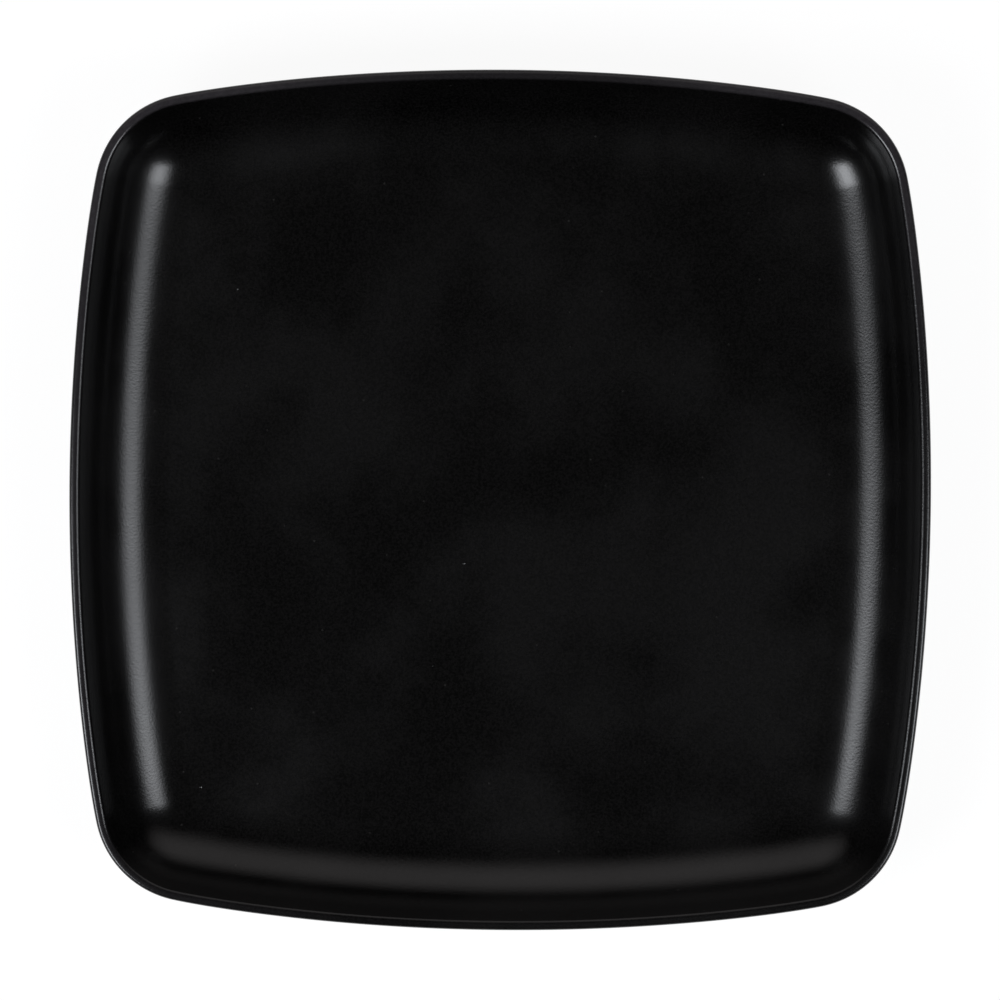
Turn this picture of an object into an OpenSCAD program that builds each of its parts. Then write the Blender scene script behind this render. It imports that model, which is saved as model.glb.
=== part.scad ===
// Square dinner plate: a pressed stoneware body with its foot ring, and the two
// stretches of black satin glaze that cover it. The foot ring's lower part stays bare.
// The outline is a soft square: four long side arcs that run smoothly into four
// corner arcs. One cross-section of rim, wall and floor edge is swept along it.
// Millimetres. The plate rests on z = 0, and its middle stands on the origin.

/* [Outline] */
// Width across the middles of two opposite sides
plate_w = 260; // [220:1:300]
// Radius of each rounded corner
corner_r = 30; // [29:0.5:40]
// How far a side curves round, from its middle to the start of a corner, in degrees
side_turn = 9.35; // [8.5:0.05:10.5]

/* [Rim] */
// Width of the rim, from its outer edge to its inner edge
rim_w = 2.95; // [2.5:0.05:5]
// Radius of the rim's outer edge
rim_out_r = 1.2; // [0.8:0.05:1.4]
// Radius of the rim's inner edge
rim_in_r = 0.9; // [0.6:0.05:1.2]

/* [Well] */
// Depth from the rim's top to the floor
depth = 19.8; // [17:0.1:28]
// Radius of the flat floor's corners
floor_corner_r = 1.6; // [0.5:0.1:5]
// Steepest slope of the inner wall
wall_angle = 66; // [60:1:72]

/* [Back] */
// Thickness of the floor with its glaze
floor_t = 4.2; // [3:0.1:6]
// How much less steep the back of the wall is than its front, in degrees
wall_taper = 2; // [0:0.5:3]
// How far outside the floor's edge the flat underside ends
heel_in = 0.5; // [0:0.1:2]

/* [Foot ring] */
// How far inside the flat underside's edge the foot ring begins
foot_in = 8.1; // [6:0.1:25]
// Outer radius of the foot ring's corners
foot_corner_r = 24; // [12:1:40]
// Thickness of the foot ring where it leaves the underside
foot_t = 4.6; // [4:0.1:8]
// Height of the foot ring
foot_h = 2; // [1.6:0.1:4]
// Slope of the foot ring's two sides away from upright
foot_draft = 14; // [5:1:20]
// Radius of the two edges that the plate stands on
foot_edge_r = 0.5; // [0.3:0.05:0.7]

/* [Glaze] */
// Thickness of the glaze
glaze_t = 0.25; // [0.15:0.01:0.4]
// Height above the table at which the glaze ends on the foot ring
glaze_line_h = 1; // [0.8:0.05:1.4]

/* [Smoothness] */
// Steps in the curve from the wall into the floor, and in the one behind it
cove_steps = 10; // [6:1:16]
// Steps in each rounded edge
edge_steps = 5; // [3:1:8]

/* [Hidden] */
$fn = 256;
clay = "#8d8378";
black_glaze = "#1c1c1d";
// Steps in each side of the flat middles, whose edges lie hidden inside the floor.
middle_steps = 8;

plate_h = foot_h + floor_t + depth;
floor_z = foot_h + floor_t;
back_angle = wall_angle - wall_taper;
// How far in from the outer edge the floor begins, and how far in its flat is swept.
floor_in = corner_r - floor_corner_r;
flat_in = corner_r - floor_corner_r / 8;
// Radius at which the curve from the wall into the floor meets both without a kink.
cove_r = ((floor_in + rim_in_r - rim_w) * sin(wall_angle)
  - (depth - rim_in_r) * cos(wall_angle) - rim_in_r) / (1 - cos(wall_angle));
// The underside begins this far in, and its curve up into the back has this radius.
heel_s = floor_in - heel_in;
heel_r = (heel_s * sin(back_angle) + rim_out_r * (1 - sin(back_angle))
  - (plate_h - rim_out_r - foot_h) * cos(back_angle)) / (1 - cos(back_angle));

// An outline is [half width, corner radius]. Both outlines have sides that turn alike.
plate_outline = [plate_w / 2, corner_r];
foot_outline = [plate_w / 2 - heel_s - foot_in, foot_corner_r];

// Radius of a side arc. With it the arc runs into the corner arcs without a kink.
function side_radius(o) =
  let (share = cos(side_turn) - sin(side_turn)) (o[0] - o[1] * share) / (1 - share);
// Distance from the middle to the centre of a side arc, beyond the far side.
function side_centre(o) = side_radius(o) - o[0];
// Both coordinates of a corner arc's centre.
function corner_centre(o) = (side_radius(o) - o[1]) * sin(side_turn);
// The same outline drawn inward by d all round.
function inward(o, d) = [o[0] - d, o[1] - d];

function arc(centre, r, from, to, steps) = [for (i = [0:steps])
  let (a = from + (to - from) * i / steps) centre + r * [cos(a), sin(a)]];

// The cross-section's back, from the underside round the heel and up to the rim's top.
// Cross-sections have x = 0 at the outer edge and run inward along -x. skin is how far
// inside the finished surface the line lies.
function back_line(skin) = concat(
  [[-flat_in, foot_h + skin]],
  arc([-heel_s, foot_h + heel_r], heel_r - skin, -90, back_angle - 90, cove_steps),
  arc([-rim_out_r, plate_h - rim_out_r], rim_out_r - skin, back_angle - 90, 90, edge_steps));

// The cross-section's front, from the rim's top down the wall and onto the floor.
function front_line(skin) = concat(
  arc([rim_in_r - rim_w, plate_h - rim_in_r], rim_in_r - skin, 90, 90 + wall_angle, edge_steps),
  arc([-floor_in, floor_z + cove_r], cove_r + skin, wall_angle - 90, -90, cove_steps),
  [[-flat_in, floor_z - skin]]);

// Points round an outline: each side's arc, then the middle of the corner after it.
function outline_points(o) = [
  for (quarter = [0:3], p = concat(
      arc([-side_centre(o), 0], side_radius(o), -side_turn, side_turn, middle_steps),
      [corner_centre(o) * [1, 1] + o[1] * [cos(45), sin(45)]]))
    let (a = 90 * quarter) [p[0] * cos(a) - p[1] * sin(a), p[0] * sin(a) + p[1] * cos(a)]];

function backwards(points) = [for (i = [len(points) - 1:-1:0]) points[i]];

// Where the foot ring's side is at a height, with the glaze and without it.
function foot_side(z, skin) = [(z - foot_h) * tan(foot_draft) - skin, z];

// Moves its children in two steps, first by whole hundredths and then by what is left,
// so that a long number keeps its last digits and the seams between sweeps close.
module place(v) {
  whole = [for (n = v) round(n * 100) / 100];
  translate(whole) translate(v - whole) children();
}

// Sweeps a cross-section round an outline: each side about its far centre, each corner
// about its own.
module sweep_round(o) {
  c = corner_centre(o);
  for (quarter = [0:3]) rotate([0, 0, 90 * quarter]) {
    place([-side_centre(o), 0, 0])
      rotate_extrude(angle = 2 * side_turn, start = -side_turn)
        place([side_radius(o), 0]) children();
    place([c, c, 0])
      rotate_extrude(angle = 90 - 2 * side_turn, start = side_turn)
        place([o[1], 0]) children();
  }
}

// The middle that a sweep leaves open. Its edge lies d inside the outline, within the
// sweep's flat part.
module middle(o, d) {
  polygon(outline_points(inward(o, d)));
}

module plate_middle() {
  middle(plate_outline, corner_r - floor_corner_r / 2);
}

// A flat sheet of an outline's full shape.
module soft_square_sheet(o, thickness) {
  band_w = o[1] * 3 / 4;
  sweep_round(o) translate([-band_w, 0]) square([band_w, thickness]);
  linear_extrude(thickness) middle(o, o[1] / 2);
}

module foot_section() {
  root = foot_h + floor_t / 2;
  side_x = foot_side(root, glaze_t)[0];
  land_x = foot_side(foot_edge_r, glaze_t)[0] - foot_edge_r / cos(foot_draft);
  polygon(concat(
    arc([-foot_t - land_x, foot_edge_r], foot_edge_r, -180 + foot_draft, -90, edge_steps),
    arc([land_x, foot_edge_r], foot_edge_r, -90, -foot_draft, edge_steps),
    [[side_x, root], [-foot_t - side_x, root]]));
}

// The glaze on one side of the foot ring, from the glaze line up to the underside, with
// a strip of the underside beside it.
module foot_glaze_section(strip_w) {
  top = foot_h + glaze_t;
  polygon([foot_side(glaze_line_h, 0), [0, foot_h], [strip_w, foot_h], [strip_w, top],
    foot_side(top, glaze_t), foot_side(glaze_line_h, glaze_t)]);
}

// The pressed and fired clay, with its foot ring turned from the same piece.
module stoneware_body() {
  color(clay) {
    sweep_round(plate_outline) polygon(concat(back_line(glaze_t), front_line(glaze_t)));
    translate([0, 0, foot_h + glaze_t])
      linear_extrude(floor_t - 2 * glaze_t) plate_middle();
    sweep_round(foot_outline) foot_section();
  }
}

// One skin over the floor, wall, rim and back, as far as the foot ring's outer side.
module face_and_wall_glaze() {
  color(black_glaze) {
    sweep_round(plate_outline) polygon(concat(
      back_line(0), front_line(0), backwards(front_line(glaze_t)), backwards(back_line(glaze_t))));
    translate([0, 0, floor_z - glaze_t]) linear_extrude(glaze_t) plate_middle();
    translate([0, 0, foot_h]) difference() {
      linear_extrude(glaze_t) plate_middle();
      translate([0, 0, -glaze_t])
        soft_square_sheet(inward(foot_outline, -foot_in / 4), 3 * glaze_t);
    }
    sweep_round(foot_outline) foot_glaze_section(foot_in / 2);
  }
}

// The glazed panel inside the foot ring, with the ring's inner side.
module base_glaze() {
  strip_w = (foot_corner_r - foot_t) * 3 / 4;
  color(black_glaze) {
    sweep_round(foot_outline)
      translate([-foot_t, 0]) mirror([1, 0]) foot_glaze_section(strip_w);
    translate([0, 0, foot_h])
      linear_extrude(glaze_t) middle(foot_outline, (foot_t + foot_corner_r) / 2);
  }
}

stoneware_body();
face_and_wall_glaze();
base_glaze();
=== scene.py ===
"""Square dinner plate: a clay body under two coats of satin black glaze.

Every piece is a swept mesh. A cross-section of the plate is carried round a soft square,
which is four long side arcs that ease into four corner arcs. The floor of the
well goes on inward from there as rings that grow rounder towards its middle.
Lengths in the plate's and the camera's classes are millimetres, and the meshes and the
studio are in metres, in the frame. Angles are degrees unless a comment says otherwise.
"""

import logging
import math
from dataclasses import dataclass, field
from enum import Enum
from functools import cache

import bpy
from mathutils import Matrix, Quaternion, Vector, noise


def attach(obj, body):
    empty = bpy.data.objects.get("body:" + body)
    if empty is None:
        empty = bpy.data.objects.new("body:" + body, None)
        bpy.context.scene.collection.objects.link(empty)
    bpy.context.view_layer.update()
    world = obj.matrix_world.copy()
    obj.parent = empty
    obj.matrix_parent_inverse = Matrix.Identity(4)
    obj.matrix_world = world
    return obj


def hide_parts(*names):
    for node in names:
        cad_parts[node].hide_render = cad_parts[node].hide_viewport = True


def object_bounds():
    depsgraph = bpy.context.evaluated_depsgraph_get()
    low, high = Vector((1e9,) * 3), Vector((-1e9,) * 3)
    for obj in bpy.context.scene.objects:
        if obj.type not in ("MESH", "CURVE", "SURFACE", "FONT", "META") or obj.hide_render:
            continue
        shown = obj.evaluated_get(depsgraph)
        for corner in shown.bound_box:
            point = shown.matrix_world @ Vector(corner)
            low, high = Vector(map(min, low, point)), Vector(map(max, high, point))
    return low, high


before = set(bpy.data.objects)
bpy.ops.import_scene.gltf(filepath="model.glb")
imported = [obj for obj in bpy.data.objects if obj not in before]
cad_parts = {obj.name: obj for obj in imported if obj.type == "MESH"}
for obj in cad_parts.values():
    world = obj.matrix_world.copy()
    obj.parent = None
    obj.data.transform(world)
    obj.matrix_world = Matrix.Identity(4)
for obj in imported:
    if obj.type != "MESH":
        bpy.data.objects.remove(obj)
CAD_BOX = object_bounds()
MM = 0.001
BODY = "root"
# Where the noise is read for the surface's slow wander along each axis.
WANDER_SHIFTS = (Vector((3.1, 0.7, 9.2)), Vector((7.9, 4.4, 1.3)), Vector((2.2, 8.6, 5.5)))
# Settings that several of the shaders' nodes share.
SMOOTH = {"interpolation_type": "SMOOTHSTEP"}
MULTIPLY = {"operation": "MULTIPLY"}
MIX_COLOURS = {"data_type": "RGBA"}

log = logging.getLogger("square_plate")

Point = tuple[float, float, float]
# A point of a cross-section: how far outward and how high.
SectionPoint = tuple[float, float]
# Where a range starts and ends.
Span = tuple[float, float]
Tree = bpy.types.NodeTree
Socket = bpy.types.NodeSocket


class CadNode(Enum):
    """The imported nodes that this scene's pieces stand for."""

    CLAY = "stoneware_body"
    FACE = "face_and_wall_glaze"
    BASE = "base_glaze"


class Slot(Enum):
    """The record's material slots."""

    CLAY = "bare_stoneware"
    GLAZE = "black_glaze"


class Side(Enum):
    """The compass side that a lamp stands on, in degrees. North is the photograph's top."""

    EAST = 0.0
    NORTH = 90.0
    WEST = 180.0


def linear(hex_colour: str) -> tuple[float, float, float, float]:
    """Turns an sRGB hex colour into the linear colour that shaders take.

    Args:
        hex_colour: a colour such as "#0c0c0d".

    Returns:
        Red, green, blue and alpha, linear.
    """
    parts = [int(hex_colour[i : i + 2], 16) / 255 for i in (1, 3, 5)]
    red, green, blue = (c / 12.92 if c <= 0.04045 else ((c + 0.055) / 1.055) ** 2.4 for c in parts)
    return red, green, blue, 1.0


def per_size(size_mm: float) -> float:
    """Gives the texture scale whose cells or waves have a real size.

    Args:
        size_mm: size of one cell or wave, in millimetres.

    Returns:
        The scale for a texture that reads object coordinates in metres.
    """
    return 1 / (size_mm * MM)


def arc(
    centre: SectionPoint, radius: float, start: float, end: float, steps: int
) -> list[SectionPoint]:
    """Lists the points of an arc in a cross-section.

    Args:
        centre: the arc's centre, as (x, height).
        radius: its radius.
        start: angle of its first point, in degrees.
        end: angle of its last point, in degrees.
        steps: how many equal steps it takes.

    Returns:
        The points, both ends included.
    """
    angles = [math.radians(start + (end - start) * i / steps) for i in range(steps + 1)]
    return [(centre[0] + radius * math.cos(a), centre[1] + radius * math.sin(a)) for a in angles]


@dataclass(frozen=True)
class Outline:
    """A soft square: four long side arcs that ease into four corner arcs."""

    half_width: float
    corner_radius: float
    # How far a side has turned from its middle where it is halfway into its corner.
    side_turn: float = 8.95
    # Over how much turning a side eases into its corner.
    ease: float = 9.0
    # Steps along half a side, along its easing and along half a corner.
    steps: tuple[int, int, int] = (11, 22, 10)
    # Parts of a step, for a true walk along the outline.
    fine_steps: int = 10

    def side_share(self, turn: float) -> float:
        """One on a side, nought on a corner, and smoothly in between."""
        t = min(max((turn - self.side_turn) / self.ease + 0.5, 0.0), 1.0)
        return 1 - t * t * (3 - 2 * t)

    def turns(self) -> list[float]:
        """Lists how far the outline has turned at each point, from a side's middle.

        Returns:
            The turning at each point, up to a corner's middle.
        """
        marks = (0.0, self.side_turn - self.ease / 2, self.side_turn + self.ease / 2, 45.0)
        turns = [0.0]
        for start, end, count in zip(marks, marks[1:], self.steps):
            turns += [start + (end - start) * (i + 1) / count for i in range(count)]
        return turns

    def bits(self, start: float, end: float) -> list[tuple[float, float]]:
        """Splits some turning into fine bits.

        Args:
            start: where the turning starts.
            end: where it ends.

        Returns:
            Each bit's middle and its size, in radians.
        """
        bit = math.radians(end - start) / self.fine_steps
        return [(math.radians(start) + (i + 0.5) * bit, bit) for i in range(self.fine_steps)]

    @cache
    def eighth(self) -> list[tuple[float, float, float]]:
        """Walks from a side's middle to a corner's middle.

        Returns:
            Each point's x and y and the way that it faces, in radians.
        """
        turns = self.turns()
        spans = list(zip(turns, turns[1:]))
        bits = [bit for span in spans for bit in self.bits(*span)]
        weight = sum(
            self.side_share(math.degrees(a)) * (math.sin(a) + math.cos(a)) * d for a, d in bits
        )
        # How much larger a side's radius is than a corner's, so that the eighth ends on the
        # diagonal.
        extra = (self.half_width - self.corner_radius) / weight
        x, y = self.half_width, 0.0
        points = [(x, y, 0.0)]
        for start, end in spans:
            for a, d in self.bits(start, end):
                radius = self.corner_radius + extra * self.side_share(math.degrees(a))
                x -= radius * math.sin(a) * d
                y += radius * math.cos(a) * d
            points.append((x, y, math.radians(end)))
        return points

    def loop(self, inset: float, height: float) -> list[Point]:
        """Draws the outline inward of its own edge.

        Args:
            inset: how far inward, at most the corner radius.
            height: height of the loop.

        Returns:
            The loop's points in order, seen from above against the clock.
        """
        eighth = self.eighth()
        quarter = [(x, -y, -a) for x, y, a in eighth[:0:-1]] + eighth[:-1]
        inner = [(x - inset * math.cos(a), y - inset * math.sin(a)) for x, y, a in quarter]
        points = []
        for turn in range(4):
            c, s = (1, 0, -1, 0)[turn], (0, 1, 0, -1)[turn]
            points += [(x * c - y * s, x * s + y * c, height) for x, y in inner]
        return points


@dataclass(frozen=True)
class PlateForm:
    """The plate's sizes.

    They are the construction model's, but the rim is a little wider and softer, and its top
    is slightly crowned, as the photograph shows.
    """

    # Width across two opposite sides, and the radius of each corner.
    plate_w: float = 260.0
    corner_r: float = 30.0
    # Width of the rim, and the radii of its outer and its inner edge.
    rim_w: float = 3.4
    rim_out_r: float = 1.2
    rim_in_r: float = 1.7
    # The rim falls a little from its inner edge outward, along a shallow curve.
    rim_crown_r: float = 5.0
    # Depth of the well, radius of its floor's corners and the wall's steepest slope.
    depth: float = 19.8
    floor_corner_r: float = 1.6
    wall_angle: float = 66.0
    # Thickness of the floor, and how much less steep the wall's back is than its front.
    floor_t: float = 4.2
    wall_taper: float = 2.0
    # How far outside the floor's edge the flat underside ends, and how far inside that edge
    # the foot ring begins.
    heel_in: float = 0.5
    foot_in: float = 8.1
    # The foot ring's outer corner radius, thickness, height, slope and edge radius.
    foot_corner_r: float = 24.0
    foot_t: float = 4.6
    foot_h: float = 2.0
    foot_draft: float = 14.0
    foot_edge_r: float = 0.5
    # Thickness of the glaze, and the height at which it ends on the foot ring.
    glaze_t: float = 0.25
    glaze_line_h: float = 1.0
    # How far the hand-finished surface wanders from the true form, and over what length.
    wander: float = 0.05
    wander_wave: float = 55.0
    # Steps in the curves, across the flat underside and between the rings of a flat.
    cove_steps: int = 44
    heel_steps: int = 26
    edge_steps: int = 14
    flat_steps: int = 10
    floor_rings: int = 36

    @property
    def plate_h(self) -> float:
        """Height of the whole plate."""
        return self.foot_h + self.floor_t + self.depth

    @property
    def floor_z(self) -> float:
        """Height of the well's floor."""
        return self.foot_h + self.floor_t

    @property
    def floor_in(self) -> float:
        """How far in from the outer edge the floor begins."""
        return self.corner_r - self.floor_corner_r

    @property
    def back_angle(self) -> float:
        """Slope of the back of the wall."""
        return self.wall_angle - self.wall_taper

    @property
    def cove_r(self) -> float:
        """Works out the curve from the wall into the floor.

        Returns:
            The radius at which it meets both without a kink.
        """
        a = math.radians(self.wall_angle)
        run = (self.floor_in + self.rim_in_r - self.rim_w) * math.sin(a)
        return (run - (self.depth - self.rim_in_r) * math.cos(a) - self.rim_in_r) / (1 - math.cos(a))

    @property
    def crown_turn(self) -> float:
        """How far the rim's shallow curve turns before its outer edge, in degrees."""
        across = self.rim_w - self.rim_in_r - self.rim_out_r
        return math.degrees(math.asin(across / (self.rim_crown_r - self.rim_out_r)))

    @property
    def rim_out_z(self) -> float:
        """Height of the centre of the rim's outer edge."""
        drop = (self.rim_crown_r - self.rim_out_r) * (1 - math.cos(math.radians(self.crown_turn)))
        return self.plate_h - self.rim_out_r - drop

    @property
    def heel_in_all(self) -> float:
        """How far in from the outer edge the flat underside begins."""
        return self.floor_in - self.heel_in

    @property
    def heel_r(self) -> float:
        """Works out the curve from the underside into the back.

        Returns:
            The radius at which it meets the underside and the wall's back without a kink.
        """
        a = math.radians(self.back_angle)
        run = self.heel_in_all * math.sin(a) + self.rim_out_r * (1 - math.sin(a))
        return (run - (self.rim_out_z - self.foot_h) * math.cos(a)) / (1 - math.cos(a))

    @property
    def outline(self) -> Outline:
        """The plate's outline. The wander stays inside the CAD model's box."""
        box_w = (CAD_BOX[1].x - CAD_BOX[0].x) / MM
        return Outline(min(self.plate_w, box_w) / 2 - self.wander, self.corner_r)

    @property
    def foot_outline(self) -> Outline:
        """The foot ring's outline."""
        return Outline(self.plate_w / 2 - self.heel_in_all - self.foot_in, self.foot_corner_r)

    def back(self, skin: float) -> list[SectionPoint]:
        """The cross-section's back, from the heel up to the rim's top.

        Args:
            skin: how far inside the finished surface the line lies.

        Returns:
            Points as (-inset, height).
        """
        heel = arc(
            (-self.heel_in_all, self.foot_h + self.heel_r),
            self.heel_r - skin,
            -90,
            self.back_angle - 90,
            self.heel_steps,
        )
        edge = arc(
            (-self.rim_out_r, self.rim_out_z),
            self.rim_out_r - skin,
            self.back_angle - 90,
            90 - self.crown_turn,
            2 * self.edge_steps,
        )
        crown = arc(
            (self.rim_in_r - self.rim_w, self.plate_h - self.rim_crown_r),
            self.rim_crown_r - skin,
            90 - self.crown_turn,
            90,
            self.edge_steps,
        )
        return heel + edge + crown[1:]

    def front(self, skin: float) -> list[SectionPoint]:
        """The cross-section's front, from the rim's top down to the floor.

        Args:
            skin: how far inside the finished surface the line lies.

        Returns:
            Points as (-inset, height).
        """
        edge = arc(
            (self.rim_in_r - self.rim_w, self.plate_h - self.rim_in_r),
            self.rim_in_r - skin,
            90,
            90 + self.wall_angle,
            self.edge_steps,
        )
        cove = arc(
            (-self.floor_in, self.floor_z + self.cove_r),
            self.cove_r + skin,
            self.wall_angle - 90,
            -90,
            self.cove_steps,
        )
        return edge[1:] + cove

    def foot_side(self, height: float, skin: float) -> SectionPoint:
        """Where the foot ring's side is at a height, as (x, height)."""
        return (height - self.foot_h) * math.tan(math.radians(self.foot_draft)) - skin, height

    def foot_profile(self) -> list[SectionPoint]:
        """Draws the bare clay of the foot ring.

        Returns:
            The points from its outer side round the land to its inner side.
        """
        tilt = math.radians(self.foot_draft)
        side_x = self.foot_side(self.foot_edge_r, self.glaze_t)[0]
        land_x = side_x - self.foot_edge_r / math.cos(tilt)
        centres = ((land_x, self.foot_edge_r), (-self.foot_t - land_x, self.foot_edge_r))
        outer = arc(centres[0], self.foot_edge_r, -self.foot_draft, -90, self.edge_steps)
        inner = arc(centres[1], self.foot_edge_r, -90, self.foot_draft - 180, self.edge_steps)
        return outer + inner


class LoopMesh:
    """A closed surface that is built up as stacks of loops, all with as many points."""

    def __init__(self, form: PlateForm) -> None:
        """Starts an empty mesh.

        Args:
            form: the plate's sizes.
        """
        self.form = form
        self.points: list[Point] = []
        self.faces: list[tuple[int, ...]] = []
        self.last: int | None = None
        self.first: int | None = None
        self.count = 0

    def add(self, loop: list[Point]) -> None:
        """Adds a loop and joins it to the one before.

        Args:
            loop: the loop's points.
        """
        start = len(self.points)
        self.points += loop
        self.count = len(loop)
        if self.last is None:
            self.first = start
        else:
            self._bridge(self.last, start)
        self.last = start

    def add_pole(self, pole: Point) -> None:
        """Closes the last loop with a fan, and starts the next loop from the same pole.

        Args:
            pole: the point in the fan's middle.
        """
        tip = len(self.points)
        self.points.append(pole)
        for i in range(self.count):
            self.faces.append((self.last + i, self.last + (i + 1) % self.count, tip))
        self.last = None

    def start_from_pole(self, pole: Point, loop: list[Point]) -> None:
        """Begins a second stack of loops with a fan.

        Args:
            pole: the point in the fan's middle.
            loop: the first loop round it.
        """
        tip = len(self.points)
        self.points.append(pole)
        start = len(self.points)
        self.points += loop
        self.count = len(loop)
        for i in range(self.count):
            self.faces.append((tip, start + (i + 1) % self.count, start + i))
        self.last = start

    def join_ends(self) -> None:
        """Joins the last loop to the very first one."""
        self._bridge(self.last, self.first)

    def _bridge(self, lower: int, upper: int) -> None:
        """Fills the band between two loops with quads.

        Args:
            lower: number of the first point of one loop.
            upper: number of the first point of the other.
        """
        for i in range(self.count):
            j = (i + 1) % self.count
            self.faces.append((lower + i, lower + j, upper + j, upper + i))

    def wandered(self, point: Point) -> Point:
        """Moves a point by the small unevenness of a hand-finished, fired plate.

        The whole plate moves as one, so that coat and clay stay together. The land that it
        stands on stays flat, and the rim's top only goes down.

        Args:
            point: a point of the true form.

        Returns:
            The moved point.
        """
        form = self.form
        x, y, z = point
        wave = form.wander_wave
        at = Vector((x / wave, y / wave, z / wave))
        rise = min(max((z - form.glaze_line_h) / (form.floor_z - form.glaze_line_h), 0.0), 1.0)
        dx, dy = (noise.noise(at + shift) * form.wander * rise for shift in WANDER_SHIFTS[:2])
        dz = (noise.noise(at + WANDER_SHIFTS[2]) - 1) * form.wander / 2 * rise
        return x + dx, y + dy, z + dz

    def finish(self, name: str) -> bpy.types.Object:
        """Makes the object, smooth, with its surface's slow wander.

        Args:
            name: the piece's name.

        Returns:
            The new object, linked to the scene.
        """
        mesh = bpy.data.meshes.new(name)
        moved = [self.wandered(p) for p in self.points]
        mesh.from_pydata([tuple(c * MM for c in p) for p in moved], [], self.faces)
        mesh.validate()
        mesh.shade_smooth()
        piece = bpy.data.objects.new(name, mesh)
        bpy.context.scene.collection.objects.link(piece)
        return piece


@dataclass
class PlateSurface:
    """One of the plate's three pieces, with what they share."""

    name: str
    node: CadNode
    slot: Slot
    form: PlateForm = field(default_factory=PlateForm)

    def build(self) -> bpy.types.Object:
        """Builds the piece's mesh. Each kind of piece has its own way."""
        raise NotImplementedError

    def dress(self, material: bpy.types.Material) -> bpy.types.Object:
        """Builds the piece and gives it its finish and its place in the frame.

        Args:
            material: its material.

        Returns:
            The piece's object.
        """
        piece = self.build()
        piece.data.materials.append(material)
        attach(piece, BODY)
        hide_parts(self.node.value)
        return piece

    def plate_loop(self, at: SectionPoint) -> list[Point]:
        """A loop of the plate's outline at a point of its cross-section."""
        return self.form.outline.loop(-at[0], at[1])

    def foot_loop(self, at: SectionPoint) -> list[Point]:
        """A loop of the foot ring's outline at a point of the ring's cross-section."""
        return self.form.foot_outline.loop(-at[0], at[1])

    def disc(self, edge: list[Point]) -> list[list[Point]]:
        """Fills a flat loop with rings that grow rounder towards the middle.

        Args:
            edge: the loop round the flat.

        Returns:
            The rings from just inside the edge to the smallest.
        """
        radius = max(math.hypot(p[0], p[1]) for p in edge) / math.sqrt(2)
        rings = []
        for ring in range(1, self.form.floor_rings):
            share = 1 - ring / self.form.floor_rings
            loop = []
            for i, (x, y, z) in enumerate(edge):
                angle = 2 * math.pi * i / len(edge) - math.pi / 4
                round_x, round_y = radius * math.cos(angle), radius * math.sin(angle)
                loop.append((
                    share * (share * x + (1 - share) * round_x),
                    share * (share * y + (1 - share) * round_y),
                    z,
                ))
            rings.append(loop)
        return rings

    def between(self, lower: list[Point], upper: list[Point]) -> list[list[Point]]:
        """Loops that lie evenly between two others, without those two.

        Args:
            lower: the loop to start from.
            upper: the loop to reach.

        Returns:
            The loops in between, in order.
        """
        steps = self.form.flat_steps
        loops = []
        for step in range(1, steps):
            share = step / steps
            loops.append([
                tuple(a + (b - a) * share for a, b in zip(p, q)) for p, q in zip(lower, upper)
            ])
        return loops


@dataclass
class GlazedFace(PlateSurface):
    """The coat over the floor, the wall, the rim and the back, to the foot ring's outer side."""

    name: str = "glazed_face"
    node: CadNode = CadNode.FACE
    slot: Slot = Slot.GLAZE

    def loops(self, skin: float) -> list[list[Point]]:
        """One side of the coat, from the glaze line to the floor's last ring.

        Args:
            skin: zero for the outer side, the coat's thickness for the inner one.

        Returns:
            The loops in order.
        """
        form = self.form
        foot_top = (form.foot_side(form.foot_h + skin, skin)[0], form.foot_h + skin)
        loops = [self.foot_loop(form.foot_side(form.glaze_line_h, skin)), self.foot_loop(foot_top)]
        heel = self.plate_loop(form.back(skin)[0])
        loops += self.between(loops[-1], heel)
        loops += [self.plate_loop(at) for at in form.back(skin) + form.front(skin)]
        return loops + self.disc(loops[-1])

    def build(self) -> bpy.types.Object:
        """Builds the coat as one closed skin.

        Returns:
            The coat's object.
        """
        form = self.form
        mesh = LoopMesh(form)
        for loop in self.loops(0.0):
            mesh.add(loop)
        mesh.add_pole((0.0, 0.0, form.floor_z))
        inner = self.loops(form.glaze_t)[::-1]
        mesh.start_from_pole((0.0, 0.0, form.floor_z - form.glaze_t), inner[0])
        for loop in inner[1:]:
            mesh.add(loop)
        mesh.join_ends()
        return mesh.finish(self.name)


@dataclass
class GlazedBase(PlateSurface):
    """The coat on the panel inside the foot ring, with the ring's inner side."""

    name: str = "glazed_base"
    node: CadNode = CadNode.BASE
    slot: Slot = Slot.GLAZE

    def loops(self, skin: float) -> list[list[Point]]:
        """One side of the coat, from the glaze line to the panel's last ring.

        Args:
            skin: zero for the outer side, the coat's thickness for the inner one.

        Returns:
            The loops in order.
        """
        form = self.form
        heights = (form.glaze_line_h, form.foot_h + skin)
        sides = [(-form.foot_t - form.foot_side(z, skin)[0], z) for z in heights]
        loops = [self.foot_loop(at) for at in sides]
        return loops + self.disc(loops[-1])

    def build(self) -> bpy.types.Object:
        """Builds the coat as one closed skin.

        Returns:
            The coat's object.
        """
        form = self.form
        mesh = LoopMesh(form)
        for loop in self.loops(form.glaze_t):
            mesh.add(loop)
        mesh.add_pole((0.0, 0.0, form.foot_h + form.glaze_t))
        outer = self.loops(0.0)[::-1]
        mesh.start_from_pole((0.0, 0.0, form.foot_h), outer[0])
        for loop in outer[1:]:
            mesh.add(loop)
        mesh.join_ends()
        return mesh.finish(self.name)


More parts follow.
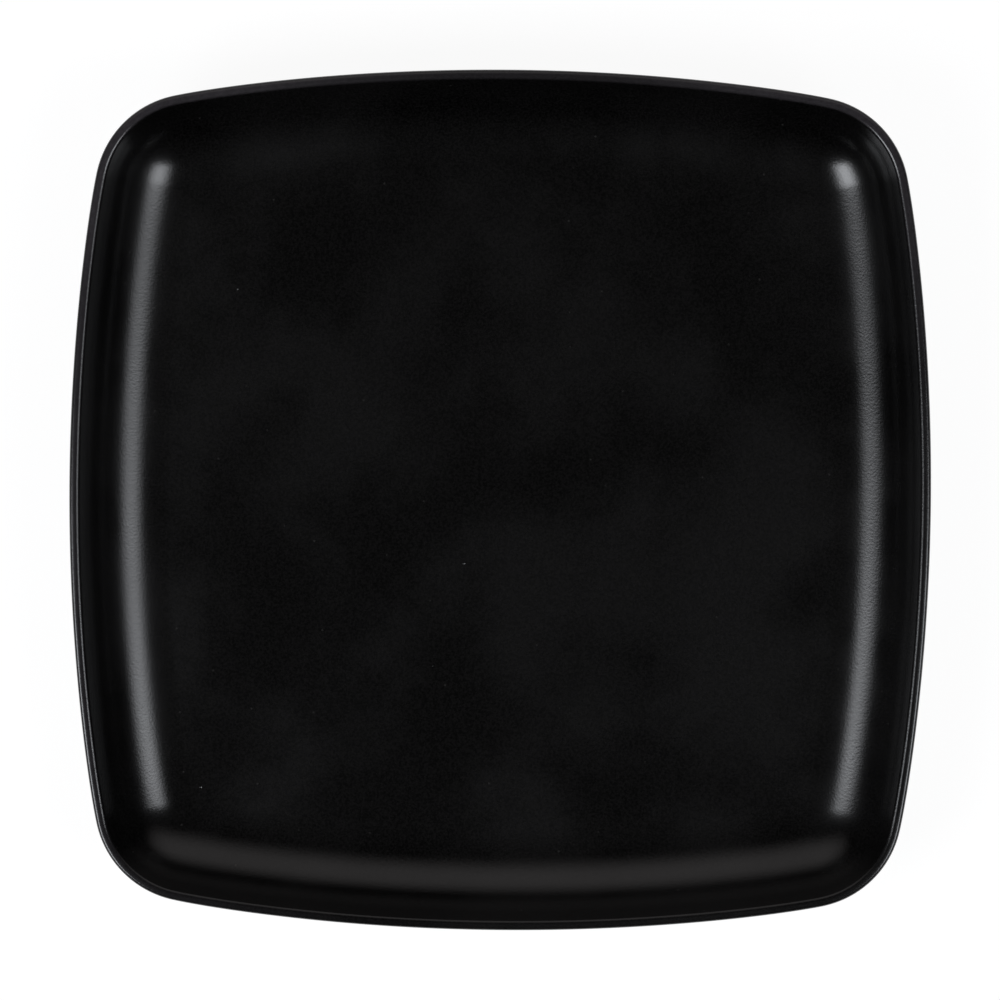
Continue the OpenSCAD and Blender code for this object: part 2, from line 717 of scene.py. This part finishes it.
@dataclass
class ClayBody(PlateSurface):
    """The fired clay. Only the lower part of its foot ring shows."""

    name: str = "clay_body"
    node: CadNode = CadNode.CLAY
    slot: Slot = Slot.CLAY

    def build(self) -> bpy.types.Object:
        """Builds the body as one closed solid.

        Returns:
            The body's object.
        """
        form = self.form
        skin = form.glaze_t
        mesh = LoopMesh(form)
        under = form.foot_h + skin
        inner_top = self.foot_loop((-form.foot_t - form.foot_side(under, skin)[0], under))
        panel = self.disc(inner_top)[::-1]
        mesh.start_from_pole((0.0, 0.0, under), panel[0])
        for loop in panel[1:] + [inner_top]:
            mesh.add(loop)
        for at in form.foot_profile()[::-1]:
            mesh.add(self.foot_loop(at))
        outer_top = self.foot_loop(form.foot_side(under, skin))
        heel = self.plate_loop(form.back(skin)[0])
        for loop in [outer_top] + self.between(outer_top, heel):
            mesh.add(loop)
        walls = [self.plate_loop(at) for at in form.back(skin) + form.front(skin)]
        for loop in walls + self.disc(walls[-1]):
            mesh.add(loop)
        mesh.add_pole((0.0, 0.0, form.floor_z - skin))
        return mesh.finish(self.name)


def add_node(
    tree: Tree,
    kind: str,
    settings: dict[str, object] | None = None,
    inputs: dict[str | int, object] | tuple[object, ...] = (),
) -> bpy.types.Node:
    """Adds a node to a tree, with its settings and links.

    Args:
        tree: the tree that takes the node.
        kind: the node's Blender type.
        settings: values for the node's own properties.
        inputs: a value, or another node's output to link, for each input that is named or
            numbered, or for the first inputs in their order.

    Returns:
        The new node.
    """
    node = tree.nodes.new(kind)
    for name, value in (settings or {}).items():
        setattr(node, name, value)
    for key, value in inputs.items() if isinstance(inputs, dict) else enumerate(inputs):
        if isinstance(value, Socket):
            tree.links.new(value, node.inputs[key])
        else:
            node.inputs[key].default_value = value
    return node


def new_material(name: str) -> bpy.types.Material:
    """Makes a material with an empty node tree.

    Args:
        name: the material's name.

    Returns:
        The material.
    """
    material = bpy.data.materials.new(name)
    material.use_nodes = True
    material.node_tree.nodes.clear()
    return material


@dataclass(frozen=True)
class FiredSurface:
    """What the plate's two fired surfaces share: clouds, fine grain, pinholes and specks."""

    name: str
    # The colour where it is darkest and where it is palest, and the colour of its specks.
    deep: str
    cloud: str
    speck: str
    ior: float
    roughness: float
    roughness_swing: float
    cloud_mm: float
    crystal_mm: float
    crystal_depth_mm: float
    mottle_mm: float
    mottle_depth_mm: float
    # One pinhole and one speck lie in each cell of these sizes.
    pinhole_cell_mm: float
    pinhole_mm: float
    pinhole_depth_mm: float
    speck_cell_mm: float
    speck_mm: float
    # Share of the colour's unevenness that the crystals make. The clouds make the rest.
    crystal_share: float = 0.75
    # The part of a noise's values that is spread over what the noise drives.
    noise_span: Span = (0.3, 0.7)
    cloud_span: Span = (0.35, 0.68)
    noise_roughness: float = 0.55
    cloud_detail: float = 3.0
    grain_detail: float = 2.0

    def build(self) -> bpy.types.Material:
        """Builds the surface's shader.

        Returns:
            The material.
        """
        material = new_material(self.name)
        tree = material.node_tree
        place = add_node(tree, "ShaderNodeTexCoord").outputs["Object"]
        clouds, crystals, mottle = self._noises(tree, place)
        colour = self._colour(tree, place, clouds, crystals)
        relief = self._relief(tree, place, crystals, mottle)
        low, high = self.roughness - self.roughness_swing, self.roughness + self.roughness_swing
        rough = add_node(tree, "ShaderNodeMapRange", SMOOTH, (clouds, *self.noise_span, low, high))
        shader = add_node(
            tree,
            "ShaderNodeBsdfPrincipled",
            inputs={
                # The base colour carries the painted sheen on the rim's top.
                "Base Color": self._painted_sheen(tree, place, mottle, colour),
                "Roughness": rough.outputs[0],
                "IOR": self.ior,
                "Normal": relief,
                **self._haze(tree, clouds, relief),
            },
        )
        add_node(tree, "ShaderNodeOutputMaterial", inputs={"Surface": shader.outputs[0]})
        return material

    def _noises(self, tree: Tree, place: Socket) -> list[Socket]:
        """Makes the noises, whose waves have a real size.

        Args:
            tree: the material's tree.
            place: the point on the plate.

        Returns:
            The clouds, the crystals and the mottle.
        """
        layers = (
            (self.cloud_mm, self.cloud_detail),
            (self.crystal_mm, self.grain_detail),
            (self.mottle_mm, self.grain_detail),
        )
        noises = []
        for size_mm, detail in layers:
            inputs = {"Scale": per_size(size_mm), "Detail": detail, "Roughness": self.noise_roughness}
            made = add_node(tree, "ShaderNodeTexNoise", inputs={"Vector": place, **inputs})
            noises.append(made.outputs["Fac"])
        return noises

    def _dots(self, tree: Tree, place: Socket, cell_mm: float, dot_mm: float) -> Socket:
        """Scatters dots, one in each cell.

        Args:
            tree: the material's tree.
            place: the point on the plate.
            cell_mm: size of a cell.
            dot_mm: radius of a dot.

        Returns:
            One in a dot's middle, fading to nought at its edge.
        """
        cells = add_node(tree, "ShaderNodeTexVoronoi", inputs={"Vector": place, "Scale": per_size(cell_mm)})
        away, reach = cells.outputs["Distance"], dot_mm / cell_mm
        return add_node(tree, "ShaderNodeMapRange", SMOOTH, (away, 0.0, reach, 1.0, 0.0)).outputs[0]

    def _colour(self, tree: Tree, place: Socket, clouds: Socket, crystals: Socket) -> Socket:
        """Mixes the clouded, grainy colour and its specks.

        Args:
            tree: the material's tree.
            place: the point on the plate.
            clouds: the clouds' noise.
            crystals: the crystals' noise.

        Returns:
            The colour.
        """
        rest = 1.0 - self.crystal_share
        cloudy = add_node(tree, "ShaderNodeMapRange", SMOOTH, (clouds, *self.cloud_span, 0.0, rest))
        grainy = add_node(
            tree, "ShaderNodeMapRange", SMOOTH, (crystals, *self.noise_span, 0.0, self.crystal_share)
        )
        uneven = add_node(
            tree, "ShaderNodeMath", {"operation": "ADD"}, (cloudy.outputs[0], grainy.outputs[0])
        )
        specks = self._dots(tree, place, self.speck_cell_mm, self.speck_mm)
        colour = linear(self.deep)
        for share, paler in ((uneven.outputs[0], self.cloud), (specks, self.speck)):
            mixed = add_node(tree, "ShaderNodeMix", MIX_COLOURS, {0: share, 6: colour, 7: linear(paler)})
            colour = mixed.outputs[2]
        return colour

    def _relief(self, tree: Tree, place: Socket, crystals: Socket, mottle: Socket) -> Socket:
        """Raises the mottle, the crystals on it and the pinholes, each to its real depth.

        Args:
            tree: the material's tree.
            place: the point on the plate.
            crystals: the crystals' noise.
            mottle: the mottle's noise.

        Returns:
            The surface's normal.
        """
        holes = self._dots(tree, place, self.pinhole_cell_mm, self.pinhole_mm)
        solid = add_node(tree, "ShaderNodeMath", {"operation": "SUBTRACT"}, (1.0, holes))
        layers = (
            (mottle, self.mottle_depth_mm),
            (crystals, self.crystal_depth_mm),
            (solid.outputs[0], self.pinhole_depth_mm),
        )
        normal = {}
        for height, depth_mm in layers:
            inputs = {"Height": height, "Distance": depth_mm * MM, "Strength": 1.0, **normal}
            normal = {"Normal": add_node(tree, "ShaderNodeBump", inputs=inputs).outputs["Normal"]}
        return normal["Normal"]

    def _painted_sheen(self, tree: Tree, place: Socket, mottle: Socket, colour: Socket) -> Socket:
        """The colour with a painted sheen, where a coat has one. A surface that isn't a coat keeps its own.
        """
        return colour

    def _haze(self, tree: Tree, clouds: Socket, relief: Socket) -> dict[str, object]:
        """The shader's inputs for a wide, weak sheen. A surface that isn't a coat has none."""
        return {}


@dataclass(frozen=True)
class SatinBlackGlaze(FiredSurface):
    """Satin black stoneware glaze, dipped and fired.

    The fired coat is a dark glass clouded by fine crystals. The eye gets near black with a
    soft, slightly mottled sheen, faint paler clouds, a few pinholes and pale specks.
    """

    name: str = "satin_black_glaze"
    deep: str = "#000000"
    cloud: str = "#111010"
    speck: str = "#2b2a29"
    # Paler colour of the painted sheen on the rim's top, standing in for light that it catches.
    painted_rim_sheen: str = "#393639"
    ior: float = 1.5
    roughness: float = 0.18
    roughness_swing: float = 0.03
    cloud_mm: float = 52.0
    # The crystals are finer than a hair. They are drawn at about two pixels of the render.
    crystal_mm: float = 0.65
    crystal_depth_mm: float = 0.0215
    mottle_mm: float = 0.95
    mottle_depth_mm: float = 0.0088
    pinhole_cell_mm: float = 19.0
    pinhole_mm: float = 0.45
    pinhole_depth_mm: float = 0.12
    speck_cell_mm: float = 8.0
    speck_mm: float = 0.5
    # The crystals on top of the coat scatter a share of the light widely.
    haze_share: Span = (0.03, 0.15)
    haze_span: Span = (0.38, 0.62)
    haze_roughness: float = 0.42
    # A painted sheen: the rim's top is painted paler, from one height to another, for light that it
    # catches.
    sheen_height_mm: Span = (25.2, 26.05)
    # The painted sheen grows along this way, towards the north-west, from one distance to another.
    sheen_way: Point = (-0.4, 0.92, 0.0)
    sheen_reach_mm: Span = (-140.0, 120.0)
    sheen_share: Span = (0.02, 0.95)
    # The painted sheen is stronger at the corners, which lie further from the plate's middle.
    sheen_corner_reach_mm: Span = (131.0, 152.0)
    sheen_corner_share: Span = (0.45, 1.0)
    # The mottle breaks it up a little.
    sheen_broken_share: Span = (0.7, 1.0)

    def _painted_sheen(self, tree: Tree, place: Socket, mottle: Socket, colour: Socket) -> Socket:
        """Paints a paler sheen on the rim's top, stronger towards the north-west and at the corners.

        Args:
            tree: the material's tree.
            place: the point on the plate.
            mottle: the mottle's noise.
            colour: the full coat's colour.

        Returns:
            The colour.
        """
        height = add_node(tree, "ShaderNodeSeparateXYZ", inputs=(place,))
        way = add_node(tree, "ShaderNodeVectorMath", {"operation": "DOT_PRODUCT"}, (place, self.sheen_way))
        away = add_node(tree, "ShaderNodeVectorMath", {"operation": "LENGTH"}, (place,))
        layers = (
            (height.outputs["Z"], self.sheen_height_mm, (0.0, 1.0)),
            (way.outputs["Value"], self.sheen_reach_mm, self.sheen_share),
            (away.outputs["Value"], self.sheen_corner_reach_mm, self.sheen_corner_share),
        )
        broken = add_node(
            tree, "ShaderNodeMapRange", SMOOTH, (mottle, *self.noise_span, *self.sheen_broken_share)
        )
        share = broken.outputs[0]
        for value, (start, end), shares in layers:
            part = add_node(tree, "ShaderNodeMapRange", SMOOTH, (value, start * MM, end * MM, *shares))
            share = add_node(tree, "ShaderNodeMath", MULTIPLY, (share, part.outputs[0])).outputs[0]
        # Paints the paler sheen on the rim into the base colour.
        mixed = add_node(tree, "ShaderNodeMix", MIX_COLOURS, {0: share, 6: colour, 7: linear(self.painted_rim_sheen)})
        return mixed.outputs[2]

    def _haze(self, tree: Tree, clouds: Socket, relief: Socket) -> dict[str, object]:
        """Lists the shader's inputs for the wide, weak sheen of the crystals.

        Args:
            tree: the material's tree.
            clouds: the clouds' noise.
            relief: the surface's normal.

        Returns:
            The value for each of the inputs.
        """
        weight = add_node(
            tree, "ShaderNodeMapRange", SMOOTH, (clouds, *self.haze_span, *self.haze_share)
        )
        return {
            "Coat Weight": weight.outputs[0],
            "Coat Roughness": self.haze_roughness,
            "Coat IOR": self.ior,
            "Coat Normal": relief,
        }


@dataclass(frozen=True)
class BareStoneware(FiredSurface):
    """Unglazed fired stoneware, turned and sponged.

    The eye gets a warm grey, quite matt, with a fine sandy grain and dark iron specks.
    """

    name: str = "bare_fired_stoneware"
    deep: str = "#857a6f"
    cloud: str = "#958b80"
    speck: str = "#4a3a2c"
    ior: float = 1.52
    roughness: float = 0.86
    roughness_swing: float = 0.05
    cloud_mm: float = 14.0
    crystal_mm: float = 0.3
    crystal_depth_mm: float = 0.02
    mottle_mm: float = 0.9
    mottle_depth_mm: float = 0.02
    pinhole_cell_mm: float = 7.0
    pinhole_mm: float = 0.3
    pinhole_depth_mm: float = 0.1
    speck_cell_mm: float = 2.6
    speck_mm: float = 0.3


@dataclass(frozen=True)
class SoftBox:
    """A cloth-fronted studio lamp, brightest in its middle and dim at its edges.

    Its lengths are metres.
    """

    name: str
    side: Side
    # How far it is slid sideways, to its right as seen from the plate.
    slide: float
    elevation: float
    distance: float
    width: float
    height: float
    # How bright its cloth is. Its power follows from this and the cloth's size.
    strength: float
    # Half the share of its width and of its height that is fully bright.
    core_w: float = 0.28
    core_h: float = 0.06
    # How far it is rolled about its own axis.
    roll: float = 0.0
    colour: str = "#f7faff"

    def build(self) -> bpy.types.Object:
        """Makes the lamp, square to its side of the plate.

        Returns:
            The lamp's object.
        """
        data = bpy.data.lights.new(self.name, "AREA")
        data.shape = "RECTANGLE"
        data.size = self.width
        data.size_y = self.height
        data.energy = self.strength * math.pi * self.width * self.height
        self._fade(data)
        lamp = bpy.data.objects.new(self.name, data)
        azimuth = math.radians(self.side.value)
        tilt = math.radians(self.elevation)
        level = Vector((math.cos(azimuth), math.sin(azimuth), 0.0))
        right = Vector((math.sin(azimuth), -math.cos(azimuth), 0.0))
        out = level * math.cos(tilt) + Vector((0.0, 0.0, math.sin(tilt)))
        lamp.location = out * self.distance + right * self.slide
        roll = Quaternion((0.0, 0.0, 1.0), math.radians(self.roll))
        lamp.rotation_euler = (out.to_track_quat("Z", "Y") @ roll).to_euler()
        lamp.visible_camera = False
        bpy.context.scene.collection.objects.link(lamp)
        return lamp

    def _fade(self, data: bpy.types.Light) -> None:
        """Dims the lamp's cloth towards its four edges.

        Args:
            data: the lamp's data.
        """
        data.use_nodes = True
        tree = data.node_tree
        tree.nodes.clear()
        # A place on the cloth runs from 0 to 1 both ways.
        middle = 0.5
        spot = add_node(tree, "ShaderNodeNewGeometry").outputs["Parametric"]
        parts = add_node(tree, "ShaderNodeSeparateXYZ", inputs=(spot,))
        shares = []
        for part, core in zip(parts.outputs, (self.core_w, self.core_h)):
            off = add_node(tree, "ShaderNodeMath", {"operation": "SUBTRACT"}, (part, middle))
            away = add_node(tree, "ShaderNodeMath", {"operation": "ABSOLUTE"}, (off.outputs[0],))
            fade = add_node(
                tree, "ShaderNodeMapRange", SMOOTH, (away.outputs[0], core, middle, 1.0, 0.0)
            )
            shares.append(fade.outputs[0])
        both = add_node(tree, "ShaderNodeMath", MULTIPLY, tuple(shares))
        glow = add_node(
            tree, "ShaderNodeEmission", inputs=(linear(self.colour), both.outputs[0])
        )
        add_node(tree, "ShaderNodeOutputLight", inputs={"Surface": glow.outputs[0]})


@dataclass
class Studio:
    """The white table, the lamps and the dim room round them."""

    # The table's width, in metres.
    table_w: float = 40.0
    table_colour: str = "#f2f2f2"
    # How much of what shows of the table is its own glow, and how bright that is.
    glow_share: float = 0.85
    glow_strength: float = 1.09
    # How bright the room is low down and overhead. The plate's face mirrors the room, and
    # would turn grey under a white one.
    room_strength: Span = (0.002, 0.036)
    # The room brightens along this way, from one height to another.
    room_way: Point = (0.0, -0.34, 0.94)
    room_span: Span = (0.4, 1.0)
    boxes: tuple[SoftBox, ...] = (
        SoftBox(
            "east_softbox", Side.EAST, slide=0.305, elevation=48.5, distance=0.96,
            width=0.65, height=0.68, strength=6.4, roll=-4.0,
        ),
        SoftBox(
            "west_softbox", Side.WEST, slide=-0.385, elevation=46.0, distance=0.96,
            width=0.74, height=0.7, strength=8.6, roll=6.0,
        ),
        SoftBox(
            "north_card", Side.NORTH, slide=0.0, elevation=36.0, distance=0.5,
            width=1.62, height=0.66, strength=0.52, core_w=0.08, colour="#fffafa",
        ),
    )

    def build(self) -> None:
        """Builds the table, the lamps and the world."""
        self._table()
        for box in self.boxes:
            box.build()
            log.info("lamp %s", box.name)
        self._world()

    def _seen(self, tree: Tree) -> Socket:
        """Tells the rays that show the background from those that light things.

        Args:
            tree: the tree that takes the nodes.

        Returns:
            One for camera, glossy and transmission rays, and nought for the others.
        """
        path = add_node(tree, "ShaderNodeLightPath").outputs
        seen = path["Is Camera Ray"]
        for other in ("Is Glossy Ray", "Is Transmission Ray"):
            seen = add_node(
                tree, "ShaderNodeMath", {"operation": "MAXIMUM"}, (seen, path[other])
            ).outputs[0]
        return seen

    def _table(self) -> None:
        """A white table top. Much of its white is its own glow, so that its shadow is faint."""
        half = self.table_w / 2
        mesh = bpy.data.meshes.new("studio_floor")
        corners = [(-half, -half, 0.0), (half, -half, 0.0), (half, half, 0.0), (-half, half, 0.0)]
        mesh.from_pydata(corners, [], [(0, 1, 2, 3)])
        table = bpy.data.objects.new("studio_floor", mesh)
        bpy.context.scene.collection.objects.link(table)
        material = new_material("white_table_top")
        tree = material.node_tree
        share = add_node(tree, "ShaderNodeMath", MULTIPLY, (self._seen(tree), self.glow_share))
        paint = add_node(tree, "ShaderNodeBsdfDiffuse", inputs={"Color": linear(self.table_colour)})
        glow = add_node(tree, "ShaderNodeEmission", inputs={"Strength": self.glow_strength})
        both = add_node(
            tree, "ShaderNodeMixShader", inputs=(share.outputs[0], paint.outputs[0], glow.outputs[0])
        )
        add_node(tree, "ShaderNodeOutputMaterial", inputs={"Surface": both.outputs[0]})
        mesh.materials.append(material)

    def _world(self) -> None:
        """Makes the world: white to the camera, and otherwise the dim room."""
        world = bpy.data.worlds.new("studio_room")
        bpy.context.scene.world = world
        world.use_nodes = True
        tree = world.node_tree
        tree.nodes.clear()
        camera_ray = add_node(tree, "ShaderNodeLightPath").outputs["Is Camera Ray"]
        way = add_node(tree, "ShaderNodeTexCoord").outputs["Generated"]
        height = add_node(
            tree, "ShaderNodeVectorMath", {"operation": "DOT_PRODUCT"}, (way, self.room_way)
        ).outputs["Value"]
        level = add_node(
            tree, "ShaderNodeMapRange", SMOOTH, (height, *self.room_span, *self.room_strength)
        )
        white = linear("#ffffff")
        room, backdrop = (
            add_node(tree, "ShaderNodeBackground", inputs=(white, strength)).outputs[0]
            for strength in (level.outputs[0], 1.0)
        )
        both = add_node(tree, "ShaderNodeMixShader", inputs=(camera_ray, room, backdrop))
        add_node(tree, "ShaderNodeOutputWorld", inputs={"Surface": both.outputs[0]})


@dataclass
class PhotoCamera:
    """The camera that took the photograph: almost straight above, a little to one side."""

    # How far it stands from the point that it turns about, and how high that point is.
    distance_mm: float = 1200.0
    target_h_mm: float = 24.8
    # How far it leans away from straight above, about each axis, and how far it is rolled.
    tilt_x: float = 3.326
    tilt_y: float = -1.676
    roll: float = -0.435
    # Pixels for a millimetre at the rim, and the pixel that the lens looks at.
    px_per_mm: float = 3.3175
    axis_px: tuple[float, float] = (498.80, 502.49)
    image_px: float = 1000.0
    sensor_mm: float = 36.0
    clip_m: Span = (0.01, 100.0)

    def build(self) -> bpy.types.Object:
        """Makes the camera and sets it as the scene's.

        Returns:
            The camera's object.
        """
        data = bpy.data.cameras.new("photo_camera")
        data.sensor_width = self.sensor_mm
        data.lens = self.px_per_mm * self.distance_mm / self.image_px * self.sensor_mm
        middle = self.image_px / 2
        data.shift_x = (middle - self.axis_px[0]) / self.image_px
        data.shift_y = (self.axis_px[1] - middle) / self.image_px
        data.clip_start, data.clip_end = self.clip_m
        turn_x = Matrix.Rotation(math.radians(self.tilt_x), 4, "X")
        turn_y = Matrix.Rotation(math.radians(self.tilt_y), 4, "Y")
        turn_z = Matrix.Rotation(math.radians(self.roll), 4, "Z")
        seen_from = (turn_z @ turn_y @ turn_x).transposed()
        back = Matrix.Translation((0.0, 0.0, self.distance_mm * MM))
        camera = bpy.data.objects.new("photo_camera", data)
        target = Matrix.Translation((0.0, 0.0, self.target_h_mm * MM))
        camera.matrix_world = target @ seen_from @ back
        bpy.context.scene.collection.objects.link(camera)
        bpy.context.scene.camera = camera
        return camera


def main() -> None:
    """Builds the plate and the studio round it."""
    logging.basicConfig(level=logging.INFO, format="%(name)s: %(message)s")
    bpy.context.scene.view_settings.view_transform = "Standard"
    finishes = {Slot.GLAZE: SatinBlackGlaze().build(), Slot.CLAY: BareStoneware().build()}
    for part in (ClayBody(), GlazedFace(), GlazedBase()):
        piece = part.dress(finishes[part.slot])
        log.info("piece %s with %d faces", piece.name, len(piece.data.polygons))
    Studio().build()
    PhotoCamera().build()


if __name__ == "__main__":
    main()
